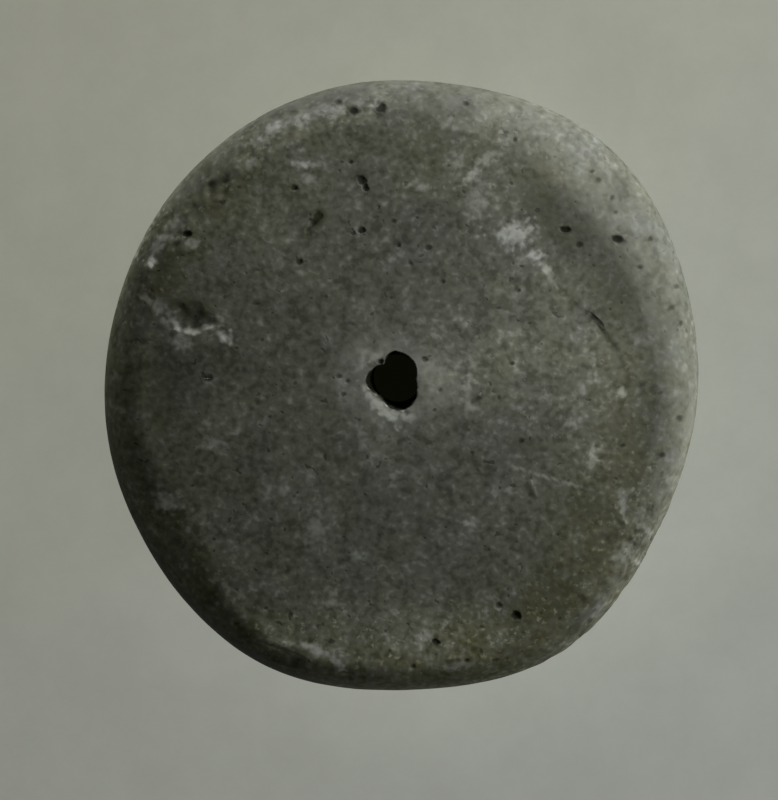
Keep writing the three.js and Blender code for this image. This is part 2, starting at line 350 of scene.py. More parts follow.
# Where each noise starts, so that no two look the same
starts = {
    "swell": 3.1, "wave": 8.4, "rough": 5.7, "mouth": 4.9, "ledge": 9.2, "scoop": 7.3,
    "pitShade": 6.1, "patch": 2.2, "worn": 4.4,
}


def named(keys, rows):
    return [dict(zip(keys, values)) for values in rows]


def noiseAt(places, size, start):
    # smooth noise from -1 to 1, one value for each place
    return np.array([noise.noise(Vector(place)) for place in (places / size + start)])


def aboutHole(places):
    # the bearing and the distance from the middle of the hole
    across, up = places[:, 0] - disc["boreX"], places[:, 1] - disc["boreY"]
    return np.degrees(np.arctan2(up, across)) % 360, np.hypot(across, up)


def onTop(places):
    return places[:, 2] > disc["thickness"] / 2


def polarOf(places):
    bearing = np.degrees(np.arctan2(places[:, 1], places[:, 0])) % 360
    return bearing, np.hypot(places[:, 0], places[:, 1]) / outlineRadius(bearing)


def ringStrengthAt(places, parts):
    bearing, share = polarOf(places)
    total = np.zeros(len(places))
    for peak, spread, radius, width, strength in parts:
        apart = spreadsFrom(bearing, peak, spread)
        total += strength * np.exp(-(apart**2) - ((share - radius) / width) ** 2)
    return total


def roughnessAt(places):
    aboveRim = places[:, 2] > disc["thickness"] * 0.4
    return np.clip(ringStrengthAt(places, roughPlaces), 0, 1) * aboveRim


def towards(bearing, height):
    # a direction of length 1
    turn, rise = math.radians(bearing), math.radians(height)
    return Vector((math.cos(rise) * math.cos(turn), math.cos(rise) * math.sin(turn), math.sin(rise)))


def markFrame(mark, tree):
    # the place of a mark on the ground disc, and its own axes: along, across and out of the stone
    if "x" in mark:
        target = Vector((mark["x"], mark["y"], disc["thickness"] / 2))
        outward = Vector((0, 0, 1))
    else:
        radius = mark["reach"] * float(outlineRadius(mark["bearing"]))
        turn = math.radians(mark["bearing"])
        target = Vector((radius * math.cos(turn), radius * math.sin(turn), disc["thickness"] / 2))
        outward = towards(mark["bearing"], mark["height"])
    farOut = target * mm + outward * rayStart
    hit, normal, _, _ = tree.ray_cast(farOut, -outward)
    turn = math.radians(mark["turn"])
    along = Vector((math.cos(turn), math.sin(turn), 0))
    along = (along - normal * along.dot(normal)).normalized()
    return np.array(hit / mm), np.array([along, normal.cross(along), normal])


def scoopOut(places, normals, mark, tree, kind):
    # pushes the points inside the mark's ellipsoid down to its far wall
    hit, axes = markFrame(mark, tree)
    curve = sweep[kind]
    deep = mark["depth"] * curve
    spread = 2 * math.sqrt(1 - ((curve - 1) / curve) ** 2)
    halves = np.array([mark["length"] / spread, mark["width"] / spread, deep])
    reach = mark["length"] / 2 + mark["width"] / 2 + 1
    near = np.flatnonzero(((places - hit) ** 2).sum(1) < reach**2)
    lean = math.radians(mark.get("lean", 0))
    tilt = np.array([[1, 0, 0], [0, math.cos(lean), math.sin(lean)], [0, -math.sin(lean), math.cos(lean)]])
    turned = tilt @ axes
    local = ((places[near] - hit) @ turned.T - [0, 0, deep - mark["depth"]]) / halves
    ragged = mark.get("ragged", skin["pitTear"])
    tearSize = skin["tearSize"] if kind == "flake" else skin["pitTearSize"]
    local *= (1 + ragged * noiseAt(places[near], tearSize, starts["scoop"] + mark["depth"]))[:, None]
    push = -(normals[near] @ turned.T) / halves
    inside = (local**2).sum(1) - 1
    a, b = (push**2).sum(1), (local * push).sum(1)
    depth = np.where(inside < 0, (-b + np.sqrt(np.maximum(b * b - a * inside, 0))) / a, 0)
    depth = depth**2 / (depth + softness[kind])
    places[near] -= normals[near] * depth[:, None]


def ledgeDepth(places):
    away = places[:, :2] - [ledge["x"], ledge["y"]]
    torn = ledge["tear"] * noiseAt(places, ledge["tearSize"], starts["ledge"])
    within = ledge["radius"] - np.hypot(away[:, 0], away[:, 1]) - torn
    apart = (np.degrees(np.arctan2(away[:, 1], away[:, 0])) - ledge["bearing"]) / ledge["spread"]
    wall = np.clip(within / ledge["wall"], 0, 1)
    floor = np.clip(1 - within / ledge["rise"], 0, 1) ** ledge["riseCurve"]
    return ledge["depth"] * np.exp(-(apart**2)) * wall * floor * onTop(places)


def closeUp(mesh, centres, past):
    # splits the edges near the marks, so that their walls stay crisp
    work = bmesh.new()
    work.from_mesh(mesh)
    tree = BVHTree.FromBMesh(work)
    work.faces.ensure_lookup_table()
    chosen = set()
    for centre, radius in centres:
        for _, _, index, _ in tree.find_nearest_range(Vector(centre) * mm, (radius + past) * mm):
            chosen.update(work.faces[index].edges)
    bmesh.ops.subdivide_edges(work, edges=list(chosen), cuts=1, use_grid_fill=True)
    bmesh.ops.triangulate(work, faces=[face for face in work.faces if len(face.verts) > 3])
    work.to_mesh(mesh)
    work.free()


def spreadAt(places, patch):
    # how far out of a patch each place is: 1 on its edge
    away = places[:, :2] - [patch["x"], patch["y"]]
    turn = math.radians(patch["turn"])
    along = (away[:, 0] * math.cos(turn) + away[:, 1] * math.sin(turn)) / (patch["length"] / 2)
    across = (away[:, 1] * math.cos(turn) - away[:, 0] * math.sin(turn)) / (patch["width"] / 2)
    return np.hypot(along, across)


def skinHeight(places, rough):
    # the unevenness that grinding and weathering leave
    _, share = polarOf(places)
    uneven = (places[:, 2] > skin["calmHeight"]) & (share > skin["calmShare"])
    height = skin["swellHeight"] * noiseAt(places, skin["swellSize"], starts["swell"])
    height += skin["waveHeight"] * noiseAt(places, skin["waveSize"], starts["wave"])
    height -= skin["roughHeight"] * rough * (0.5 + noiseAt(places, skin["roughSize"], starts["rough"]))
    return height * uneven


def mouthTearing(places):
    # how far the torn edge of the mouth moves each place
    bearing, fromHole = aboutHole(places)
    edge = np.exp(-(((fromHole - mouthRadius(bearing)) / skin["mouthTearReach"]) ** 2))
    edge *= np.clip(1 - (disc["thickness"] - places[:, 2]) / skin["mouthTearDepth"], 0, 1)
    torn = noiseAt(places * [1, 1, 0], skin["mouthTearSize"], starts["mouth"])
    tearing = skin["mouthTear"] * torn * edge / fromHole
    return (places[:, :2] - [disc["boreX"], disc["boreY"]]) * tearing[:, None]


def carveStone():
    places, triangles = discSurface()
    mesh = meshFrom("whorlStone", places, triangles)
    low, high = places.min(0), places.max(0)
    tree = BVHTree.FromPolygons((places * mm).tolist(), triangles.tolist())
    flakeMarks, pitMarks = named(flakeKeys, flakes), named(pitKeys, pits)

    small = [(markFrame(mark, tree)[0], mark["length"] / 2) for mark in pitMarks]
    sharp = [(markFrame(mark, tree)[0], mark["length"] / 2) for mark in flakeMarks[:sharpFlakes]]
    mouth = [((disc["boreX"], disc["boreY"], disc["thickness"]), disc["mouthWidth"] / 2 + closer["mouth"])]
    closeUp(mesh, small + sharp + mouth, closer["marks"])
    closeUp(mesh, [mark for mark in small if mark[1] > closer["largerPit"]], closer["largerPits"])

    places, normals = readVectors(mesh.vertices, "co") / mm, readVectors(mesh.vertex_normals, "vector")
    rough = roughnessAt(places)
    places += normals * skinHeight(places, rough)[:, None]
    places[:, :2] += mouthTearing(places)
    places[:, 2] -= ledgeDepth(places)
    for mark in flakeMarks:
        scoopOut(places, normals, mark, tree, "flake")

    # painted shade for the hole and the pits, with some dirt in the pits
    bearing, fromHole = aboutHole(places)
    holeEdge = mouthRadius(bearing) + disc["lipRound"] + hollow["holePast"]
    inHole = np.clip((holeEdge - fromHole) / hollow["holeFade"], 0, 1)
    hollowShadeAndDirt = inHole.copy()
    torn = 1 + hollow["pitTear"] * noiseAt(places, hollow["pitTearSize"], starts["pitShade"])
    for mark in pitMarks:
        scoopOut(places, normals, mark, tree, "pit")
        shade = np.clip(hollow["pitReach"] - spreadAt(places, mark) * torn, 0, 1)
        shade *= min(1, hollow["shallowest"] + hollow["perDepth"] * mark["depth"])
        hollowShadeAndDirt = np.maximum(hollowShadeAndDirt, shade * onTop(places))

    # the middle of the outline goes where the solid's is
    middle = (low + high) / 2
    cadMiddle = np.array((cadLow + cadHigh) / 2) / mm
    places += [cadMiddle[0] - middle[0], cadMiddle[1] - middle[1], 0]
    writePlaces(mesh, places)
    # the hole's painted shade also scales down its colour
    return mesh, {"rough": rough, "hollowShadeAndDirt": np.clip(hollowShadeAndDirt, 0, 1), "broad": 1 - hollow["holeShade"] * inHole}


# Patches of colour on the upper face: across and up from the middle, turn, length, width and strength.
# Pale ones are bare mineral or bruised stone; some are painted highlights where an edge faces the light:
# the left flake's lower edge, the lower left lip of the hole and the crest at the bottom of the rim. Stains
# are dark and a little olive. Their edges are torn by noise of the size and strength given, and fade.
patchTears = {"pale": (0.6, 0.85), "stain": (2.0, 0.6)}
patchEdge = {"reach": 1.4, "fade": 0.8}
patchKeys = ("x", "y", "turn", "length", "width", "strength")
paleAndHighlightPatches = [
    (14.9, 19.7, 10, 3.8, 2.4, 0.62), (17.4, 16.9, 0, 1.5, 1.3, 0.65), (18.8, 15.2, -50, 2.0, 0.9, 0.5),
    (19.6, 13.6, -50, 1.6, 0.6, 0.3), (10.1, 24.1, 70, 3.8, 2.6, 0.25), (9.4, 27.3, 45, 3.0, 0.9, 0.45),
    (7.4, 29.2, 0, 2.4, 2.2, 0.25), (-12.0, 28.5, 0, 2.6, 0.8, 0.65), (-11.4, 26.6, 0, 1.5, 1.4, 0.3),
    (-8.0, 35.3, 10, 2.4, 1.5, 0.45), (-12.2, 34.2, 15, 2.6, 1.3, 0.45),
    (-16.0, 33.0, 20, 2.4, 1.2, 0.4), (-17.8, 31.4, 30, 2.4, 1.4, 0.35),
    (-19.0, 28.6, 30, 1.8, 1.3, 0.2), (-5.0, 36.2, 0, 2.0, 1.2, 0.2), (-28.2, 20.9, 50, 2.4, 1.5, 0.5),
    (4.6, 2.2, 0, 3.2, 2.8, 0.16), (-30.6, 18.6, 62, 4.2, 1.3, 0.45), (-31.6, 16.0, 0, 1.3, 1.1, 1.0),
    (-26.1, 18.4, 0, 1.4, 1.0, 0.4), (-33.6, 18.4, 65, 4.0, 0.9, 0.4),
    (-31.8, 21.8, 55, 3.6, 0.9, 0.35), (-28.7, 8.4, -48, 2.6, 0.6, 0.45),
    (-26.5, 7.3, -8, 2.8, 0.8, 0.5), (-24.6, 7.8, 24, 2.0, 0.8, 0.5), (-22.2, 6.6, -38, 2.4, 1.2, 0.62),
    (-22.7, 8.7, 0, 1.1, 0.9, 0.4), (-27.6, 5.9, -20, 2.6, 1.6, 0.4), (-31.8, 11.0, -35, 2.4, 0.9, 0.5),
    (-30.3, 10.4, -30, 2.2, 1.2, 0.35), (-1.8, 3.0, 60, 1.0, 0.6, 0.6), (-3.0, 4.0, 30, 1.6, 1.2, 0.35),
    (-4.6, 3.4, 80, 2.6, 0.8, 0.4), (-2.5, -2.2, -46, 5.2, 1.0, 0.8), (-0.95, -3.4, -46, 2.2, 1.5, 0.7),
    (-4.1, -0.4, -60, 2.6, 0.5, 0.15), (1.0, -3.8, -10, 1.6, 1.0, 0.35),
    (-2.6, -7.4, 75, 4.0, 2.6, 0.14), (-29.6, -14.5, 0, 3.0, 2.2, 0.55),
    (-23.7, -7.1, -15, 3.4, 1.7, 0.25), (-10.5, -18.0, 60, 4.2, 3.0, 0.2),
    (-5.4, -21.3, 0, 1.1, 1.0, 0.4), (-8.0, -34.9, -55, 2.4, 1.0, 0.6),
    (-10.4, -33.6, -20, 4.6, 0.8, 0.5), (-14.4, -32.6, -12, 4.4, 0.6, 0.35),
    (9.0, -17.1, 0, 1.7, 0.8, 0.5), (5.6, -19.5, 0, 0.9, 0.9, 0.3), (28.3, -0.5, 0, 1.3, 0.9, 0.45),
    (9.2, -2.3, 0, 1.7, 1.3, 0.3), (34.7, -11.7, 0, 1.5, 1.3, 0.12), (28.6, -14.5, 92, 3.4, 0.7, 0.5),
    (30.6, -16.2, 40, 2.4, 1.6, 0.15), (28.8, -21.1, 60, 3.4, 2.2, 0.22),
    (5.8, -30.3, 55, 2.6, 0.5, 0.25), (24.5, 4.0, -60, 2.2, 1.0, 0.2), (9.6, 3.6, 80, 2.4, 1.4, 0.2),
    (20.6, -11.7, -16, 8.4, 0.28, 0.36), (17.0, -11.8, -70, 2.8, 0.25, 0.3),
    (31.6, -18.0, -50, 3.5, 0.6, 0.2), (30.0, -22.0, -50, 3.0, 0.6, 0.35),
    (-11.0, 35.0, 15, 7.0, 1.4, 0.25), (-2.8, 36.2, 80, 1.6, 1.0, 0.4),
    (25.6, -28.2, 52, 2.6, 1.2, 0.25), (30.6, -17.4, -40, 1.8, 0.5, 0.4),
    (2.8, 25.8, -30, 2.2, 1.0, 0.35), (11.2, 29.2, 20, 3.0, 1.4, 0.3), (8.8, 0.6, 90, 2.6, 1.0, 0.3),
    (22.6, -4.2, 0, 2.2, 1.4, 0.25), (24.8, -8.5, 80, 2.4, 1.1, 0.4), (-15.2, 15.8, 80, 2.4, 1.2, 0.25),
    (-8.4, -26.6, 70, 2.4, 1.2, 0.3), (3.2, -31.8, 30, 2.4, 1.6, 0.3), (7.4, -35.4, 10, 3.0, 1.2, 0.35),
]
stainPatches = [
    (18.2, 23.6, -55, 8.0, 3.6, 0.4), (26.8, 12.9, -70, 10.0, 4.5, 0.45),
    (4.0, 30.0, 80, 6.0, 3.2, 0.3), (-23.2, 25.3, 45, 7.0, 4.0, 0.55),
    (-29.5, 14.7, 70, 6.5, 4.0, 0.55), (29.3, -9.1, 95, 15.0, 4.5, 0.35),
    (24.3, -15.5, -15, 9.0, 4.0, 0.45), (19.1, -27.6, 30, 9.0, 5.0, 0.42),
    (16.1, -7.1, -10, 4.0, 2.2, 0.3), (-23.2, -22.9, -30, 6.0, 2.4, 0.35),
    (-10.5, 21.6, 50, 2.2, 1.8, 0.9), (-11.8, 20.0, 60, 2.0, 1.6, 0.7),
    (-26.5, 10.4, -12, 6.0, 3.0, 0.7), (21.5, 20.0, -40, 5.0, 3.0, 0.3),
    (30.0, -27.0, 45, 6.0, 3.0, 0.2), (-30.4, -1.4, 90, 9.0, 4.0, 0.4),
    (-25.0, 28.0, 45, 3.0, 2.0, 0.5), (-20.6, 26.0, 40, 3.0, 2.0, 0.4),
    (-32.4, 20.6, 62, 6.0, 0.8, 0.6), (26.4, 24.6, -45, 5.0, 2.6, 0.35), (10.5, 22.4, 0, 1.8, 1.4, 0.6),
    (25.6, -4.8, 0, 1.5, 1.2, 0.6), (26.6, -8.6, 0, 1.7, 1.2, 0.6), (15.6, -3.1, 0, 1.7, 1.1, 0.5),
    (18.4, 27.4, -45, 8.5, 2.4, 0.35), (25.2, -21.0, 52, 9.0, 3.2, 0.42),
    (26.3, 6.9, -62, 3.4, 0.5, 0.6), (21.5, 12.2, -35, 5.6, 0.45, 0.45),
    (-14.0, 32.0, 22, 4.0, 1.2, 0.5), (-27.0, 22.2, 40, 2.0, 1.2, 0.4),
    (31.6, -21.0, -50, 3.4, 0.8, 0.5),
]
# Broad parts that are lighter, or darker where the strength is below nothing. Partly painted light and
# shade: the right of the face, toward the lamps, is painted lighter, and the left and a band inside the
# upper right shoulder darker; the rest is tone that differs across the stone
broadTones = [
    (16.0, 7.0, 10, 26.0, 16.0, 0.28), (13.0, 3.0, 5, 24.0, 9.0, 0.34), (14.5, 11.0, 0, 10.0, 4.0, 0.2),
    (-10.0, 1.5, 90, 4.0, 3.0, -0.15), (-5.6, 1.2, 90, 5.0, 3.0, -0.2),
    (3.0, -31.0, 0, 22.0, 9.0, 0.28), (14.0, -8.0, 0, 4.0, 4.0, -0.15), (-2.0, 37.6, 5, 6.0, 3.0, 0.35),
    (-0.5, 34.8, 0, 6.0, 2.5, -0.22), (-22.0, 15.0, 0, 12.0, 12.0, 0.08),
    (24.5, -5.5, 90, 8.0, 6.0, 0.2), (22.8, 26.8, -45, 5.0, 3.0, 0.14),
    (-15.0, 25.0, 0, 8.0, 8.0, 0.08), (8.0, 26.5, 0, 16.0, 3.0, 0.1), (4.8, -18.5, 0, 3.4, 3.4, -0.3),
    (13.3, 11.2, 0, 3.0, 3.0, 0.25), (12.6, 2.8, 0, 5.0, 3.0, 0.12), (-5.2, -6.6, 0, 5.0, 4.0, -0.2),
    (-4.0, -32.0, 0, 34.0, 8.0, 0.5), (22.5, 20.5, -48, 15.0, 8.0, -0.38),
    (29.0, 13.0, -65, 12.0, 7.0, -0.35), (32.5, -1.0, 90, 22.0, 6.0, -0.28),
    (2.0, 21.0, 0, 14.0, 12.0, -0.16), (-28.0, 0.0, 90, 14.0, 8.0, -0.3),
    (8.0, -15.0, 0, 44.0, 12.0, -0.13), (-16.0, 24.0, 20, 12.0, 13.0, 0.2),
    (3.0, 37.0, 0, 20.0, 4.0, -0.28), (-14.0, -12.0, 0, 12.0, 12.0, 0.06),
    (-29.5, -17.5, -60, 16.0, 6.0, 0.34), (-26.0, 8.0, 0, 16.0, 16.0, -0.1),
    (-23.0, 26.0, 48, 12.0, 6.0, -0.3), (-8.0, 36.5, 12, 14.0, 4.0, -0.3),
    (-20.6, -26.0, -35, 8.0, 5.0, -0.28), (24.0, -29.3, 45, 6.0, 3.0, -0.25),
    (34.8, 8.5, 90, 4.0, 3.0, -0.25), (14.0, -28.0, 20, 12.0, 6.0, -0.18),
    (22.0, -21.0, 50, 20.0, 9.0, -0.12), (21.5, 28.5, -45, 8.0, 4.0, 0.1),
    (26.0, 28.5, -45, 7.0, 5.0, -0.15), (-32.5, 14.5, 65, 8.0, 3.0, -0.3),
    (-31.6, 15.7, 0, 1.6, 1.3, 1.3),
]
# The same along the rim, all the way down it: bearing, spread, radius in parts of the outline's, its
# spread and strength. All of it is painted light and shade: the rim's outer edge is darkened on the lower
# left, where it lies in shadow, and lightened on the upper left, the left and the lower right, where it
# catches light; darker bands are painted just inside the rim.
rimPaintedLight = [
    (205, 30, 1.0, 0.045, -0.7), (243, 18, 1.0, 0.05, -0.85), (150, 20, 1.0, 0.024, 0.9),
    (351, 11, 1.0, 0.035, 0.6), (334, 10, 1.0, 0.03, 0.5), (314, 14, 1.0, 0.028, 0.65),
    (292, 8, 1.0, 0.03, 0.35), (172, 9, 1.0, 0.02, 0.6), (2, 16, 0.885, 0.028, -0.2),
    (40, 14, 0.945, 0.03, -0.22), (88, 9, 0.89, 0.035, -0.2), (162, 12, 0.84, 0.05, -0.2),
]
# Where the stone is more olive than grey, given in the same way
oliveParts = [
    (200, 60, 0.96, 0.16, 0.9), (275, 35, 0.94, 0.14, 0.6), (325, 32, 0.82, 0.18, 0.7),
    (298, 22, 0.86, 0.14, 0.4), (135, 26, 0.86, 0.11, 0.6), (85, 26, 0.8, 0.14, 0.35),
    (8, 24, 0.82, 0.12, 0.45), (51, 13, 0.79, 0.06, 0.55), (185, 75, 0.5, 0.35, 0.25),
]
# Where pale specks crowd
speckled = [
    (0.0, -32.5, 0, 46.0, 10.0, 0.66), (20.0, -27.0, 45, 22.0, 10.0, 0.5),
    (30.0, -14.0, 70, 18.0, 9.0, 0.5), (-24.0, 27.0, 48, 22.0, 8.0, 0.5),
    (-8.0, 34.0, 10, 22.0, 5.0, 0.45), (-31.0, 14.0, 65, 18.0, 7.0, 0.5),
    (14.0, 32.0, -25, 22.0, 8.0, 0.3), (30.0, 16.0, -60, 24.0, 8.0, 0.12),
    (-22.0, -24.0, -40, 22.0, 10.0, 0.38), (6.0, 24.0, 0, 16.0, 12.0, 0.25),
    (20.0, -4.0, 0, 24.0, 20.0, 0.22),
]
# Where a dusty skin hides most of the grain
dusty = [
    (25.0, 25.0, -45, 30.0, 9.0, 0.65), (34.0, 8.0, -75, 22.0, 7.0, 0.6),
    (6.0, 37.0, -5, 22.0, 5.0, 0.5), (36.0, -8.0, 78, 20.0, 4.5, 0.7),
    (26.5, -26.5, 47, 14.0, 3.0, 0.5), (-12.0, 37.0, 18, 24.0, 3.5, 0.7),
    (-27.0, 27.0, 45, 16.0, 3.0, 0.5),
]

# The paler ring that the spindle has worn round the hole, in millimetres
wornRing = {"past": 0.9, "fade": 1.8, "tear": 0.35, "tearSize": 1.6, "down": 1.0}


def wornAt(places):
    bearing, _ = polarOf(places)
    _, fromHole = aboutHole(places)
    inward = (seatRadius(bearing) + wornRing["past"] - fromHole) / wornRing["fade"]
    torn = wornRing["tear"] * noiseAt(places, wornRing["tearSize"], starts["worn"])
    return np.clip(inward + torn, 0, 1) * (places[:, 2] > disc["thickness"] - wornRing["down"])


def patchesAt(places, patches, tearSize, tear):
    total = np.zeros(len(places))
    torn = 1 + tear * noiseAt(places, tearSize, starts["patch"])
    for patch in named(patchKeys, patches):
        inside = np.clip(patchEdge["reach"] - spreadAt(places, patch) * torn, 0, patchEdge["fade"])
        inside = inside / patchEdge["fade"]
        total = np.maximum(total, patch["strength"] * inside)
    return total * onTop(places)


def broadAt(places, patches):
    total = np.zeros(len(places))
    for patch in named(patchKeys, patches):
        total += patch["strength"] * np.exp(-(spreadAt(places, patch) ** 2))
    return total * onTop(places)


def putNode(tree, kind, inputs=None, **settings):
    # a node with its settings, and its inputs set or linked
    node = tree.nodes.new(kind)
    for name, value in settings.items():
        setattr(node, name, value)
    for key, value in (inputs or {}).items():
        if isinstance(value, bpy.types.NodeSocket):
            tree.links.new(value, node.inputs[key])
        else:
            node.inputs[key].default_value = value
    return node


def reckon(tree, operation, first, second=0.0, clamp=False):
    inputs = {0: first, 1: second}
    return putNode(tree, "ShaderNodeMath", inputs, operation=operation, use_clamp=clamp).outputs[0]


def vectorMath(tree, operation, first, second):
    inputs = {0: first, "Scale" if operation == "SCALE" else 1: second}
    node = putNode(tree, "ShaderNodeVectorMath", inputs, operation=operation)
    return node.outputs["Value" if operation == "DOT_PRODUCT" else "Vector"]


def storedValue(tree, name):
    return putNode(tree, "GeometryNodeInputNamedAttribute", {"Name": name}, data_type="FLOAT").outputs[0]


# The fine skin that weathering leaves: small pits strewn over the stone, more where it is rough
weather = {
    "Pits per square metre": 22000.0,
    "Rough pits per square metre": 160000.0,
    "Pit width": 1.5 * mm,
    "Pit depth": 0.09 * mm,
    "Pit wander": 0.8 * mm,
    "Grain size": 0.9 * mm,
    "Grain height": 0.02 * mm,
}
weatherSeed = 11
pitShares = (0.35, 1.0)  # the smallest and the largest pit, in parts of the width


def weatherTree(material):
    tree = bpy.data.node_groups.new("weatherSkin", "GeometryNodeTree")
    tree.is_modifier = True
    tree.interface.new_socket("Geometry", in_out="INPUT", socket_type="NodeSocketGeometry")
    for name in weather:
        tree.interface.new_socket(name, in_out="INPUT", socket_type="NodeSocketFloat")
    tree.interface.new_socket("Geometry", in_out="OUTPUT", socket_type="NodeSocketGeometry")
    given = tree.nodes.new("NodeGroupInput").outputs

    def times(first, second):
        return reckon(tree, "MULTIPLY", first, second)

    def stored(geometry, name, value):
        inputs = {"Geometry": geometry, "Name": name, "Value": value}
        kind = "GeometryNodeStoreNamedAttribute"
        return putNode(tree, kind, inputs, data_type="FLOAT", domain="POINT").outputs[0]

    density = times(given["Rough pits per square metre"], storedValue(tree, "rough"))
    density = reckon(tree, "ADD", given["Pits per square metre"], density)
    strewn = putNode(
        tree, "GeometryNodeDistributePointsOnFaces",
        {"Mesh": given["Geometry"], "Density": density, "Seed": weatherSeed},
    ).outputs["Points"]
    share = {2: pitShares[0], 3: pitShares[1], "Seed": weatherSeed}
    share = putNode(tree, "FunctionNodeRandomValue", share, data_type="FLOAT")
    sized = stored(strewn, "pitShare", share.outputs[1])

    scale = reckon(tree, "DIVIDE", 1.0, given["Grain size"])
    grain = putNode(tree, "ShaderNodeTexNoise", {"Scale": scale, "Detail": 1.0}, normalize=True).outputs
    position = putNode(tree, "GeometryNodeInputPosition").outputs[0]
    wander = vectorMath(tree, "SUBTRACT", grain[1], (0.5, 0.5, 0.5))
    wander = vectorMath(tree, "SCALE", wander, given["Pit wander"])
    sampled = {0: sized, "Sample Position": vectorMath(tree, "ADD", position, wander)}
    distance = putNode(tree, "GeometryNodeProximity", sampled, target_element="POINTS").outputs["Distance"]
    nearest = putNode(tree, "GeometryNodeSampleNearest", sampled, domain="POINT").outputs[0]
    size = putNode(
        tree, "GeometryNodeSampleIndex",
        {"Geometry": sized, "Value": storedValue(tree, "pitShare"), "Index": nearest},
        data_type="FLOAT", domain="POINT",
    ).outputs[0]
    radius = times(times(given["Pit width"], 0.5), size)
    away = reckon(tree, "DIVIDE", distance, radius)
    dip = reckon(tree, "SUBTRACT", 1.0, times(away, away), clamp=True)
    bowl = times(dip, dip)
    pitDepth = times(times(given["Pit depth"], size), bowl)

    lift = times(reckon(tree, "SUBTRACT", grain[0], 0.5), given["Grain height"])
    move = reckon(tree, "SUBTRACT", lift, pitDepth)
    normal = putNode(tree, "GeometryNodeInputNormal").outputs["Normal"]
    offset = vectorMath(tree, "SCALE", normal, move)

    marked = stored(given["Geometry"], "pitted", bowl)
    moved = putNode(tree, "GeometryNodeSetPosition", {"Geometry": marked, "Offset": offset}).outputs[0]
    smooth = putNode(tree, "GeometryNodeSetShadeSmooth", {"Geometry": moved}).outputs[0]
    real = putNode(tree, "GeometryNodeRealizeInstances", {"Geometry": smooth}).outputs[0]
    faced = putNode(tree, "GeometryNodeSetMaterial", {"Geometry": real, "Material": material}).outputs[0]
    end = tree.nodes.new("NodeGroupOutput")
    tree.links.new(faced, end.inputs["Geometry"])
    return tree


# The stone's finish. Colours are linear, sizes in millimetres. A range is what a noise is read between,
# and a range of four also says what it gives there.
finish = {
    "deep": (0.048, 0.05, 0.035, 1),
    "middle": (0.094, 0.098, 0.076, 1),
    "light": (0.215, 0.22, 0.194, 1),
    "pale": (0.400, 0.408, 0.37, 1),
    "stain": (0.05, 0.052, 0.027, 1),
    # this dark colour is used for the specks and for the painted shade in the hole and the pits
    "shadeAndDirt": (0.01, 0.01, 0.006, 1),
    "dust": (0.118, 0.122, 0.101, 1),
    "cool": (0.985, 1.00, 1.02, 1),
    "warm": (1.01, 1.005, 0.955, 1),
    "olive": (1.03, 1.005, 0.7, 1),
    "grainSize": 0.8, "mottleSize": 2.0, "cloudSize": 7.5, "hueSize": 6.0,
    "fleckSize": 1.0, "fleckTear": 0.45, "speckSize": 1.1, "powderSize": 0.4,
    "grainShare": 0.38, "mottleShare": 0.38, "cloudShare": 0.24,
    "darkRange": (0.36, 0.54), "brightRange": (0.52, 0.72),
    "stainRange": (0.3, 0.6, 0.5, 1.3),
    "wornRange": (0.3, 0.65, 0.5, 1.0), "wornAmount": 0.5,
    "fewestFlecks": 0.11, "moreFlecks": 0.65,
    "fleckEdge": (1.15, 0.75), "fleckTorn": 1.5, "fleckChance": (0.1, 1.0, 0.2, 0.85),
    "speckRange": (0.69, 0.78), "speckAmount": 0.6,
    "oliveRange": (0.35, 0.65, 1.0, 0.4),
    "dustyRange": (0.38, 0.62, 0.42, 0.98),
    "paleRange": (0.3, 0.6, 0.6, 1.2),
    # the share of the small pits in the painted shade and dirt, and the range of that shade
    "pittedShadeAndDirt": 0.35, "shadeAndDirtRange": (0.05, 0.95, 0.0, 0.95),
    "hueRange": (0.36, 0.64),
    # the shine falls away where the hole and the pits are painted dark
    "roughness": 0.8, "polish": 0.6, "shine": 0.35, "shadeAndDirtShine": 0.03,
    "bumpHeight": 0.032, "grainBump": 0.8, "powderBump": 0.15, "speckBump": 0.6,
}


def blankMaterial(name):
    material = bpy.data.materials.new(name)
    material.use_nodes = True
    material.node_tree.nodes.clear()
    return material


def shadeWith(tree, inputs):
    shader = putNode(tree, "ShaderNodeBsdfPrincipled", inputs)
    putNode(tree, "ShaderNodeOutputMaterial", {"Surface": shader.outputs[0]})


def colourMix(tree, factor, under, over, blend="MIX"):
    inputs = {0: factor, 6: under, 7: over}
    return putNode(tree, "ShaderNodeMix", inputs, data_type="RGBA", blend_type=blend).outputs[2]


def attributeOf(tree, name):
    return putNode(tree, "ShaderNodeAttribute", attribute_name=name).outputs["Fac"]


def mapped(tree, value, low, high, toLow=0.0, toHigh=1.0, smooth=True):
    inputs = {"Value": value, "From Min": low, "From Max": high, "To Min": toLow, "To Max": toHigh}
    kind = "SMOOTHSTEP" if smooth else "LINEAR"
    return putNode(tree, "ShaderNodeMapRange", inputs, interpolation_type=kind).outputs["Result"]


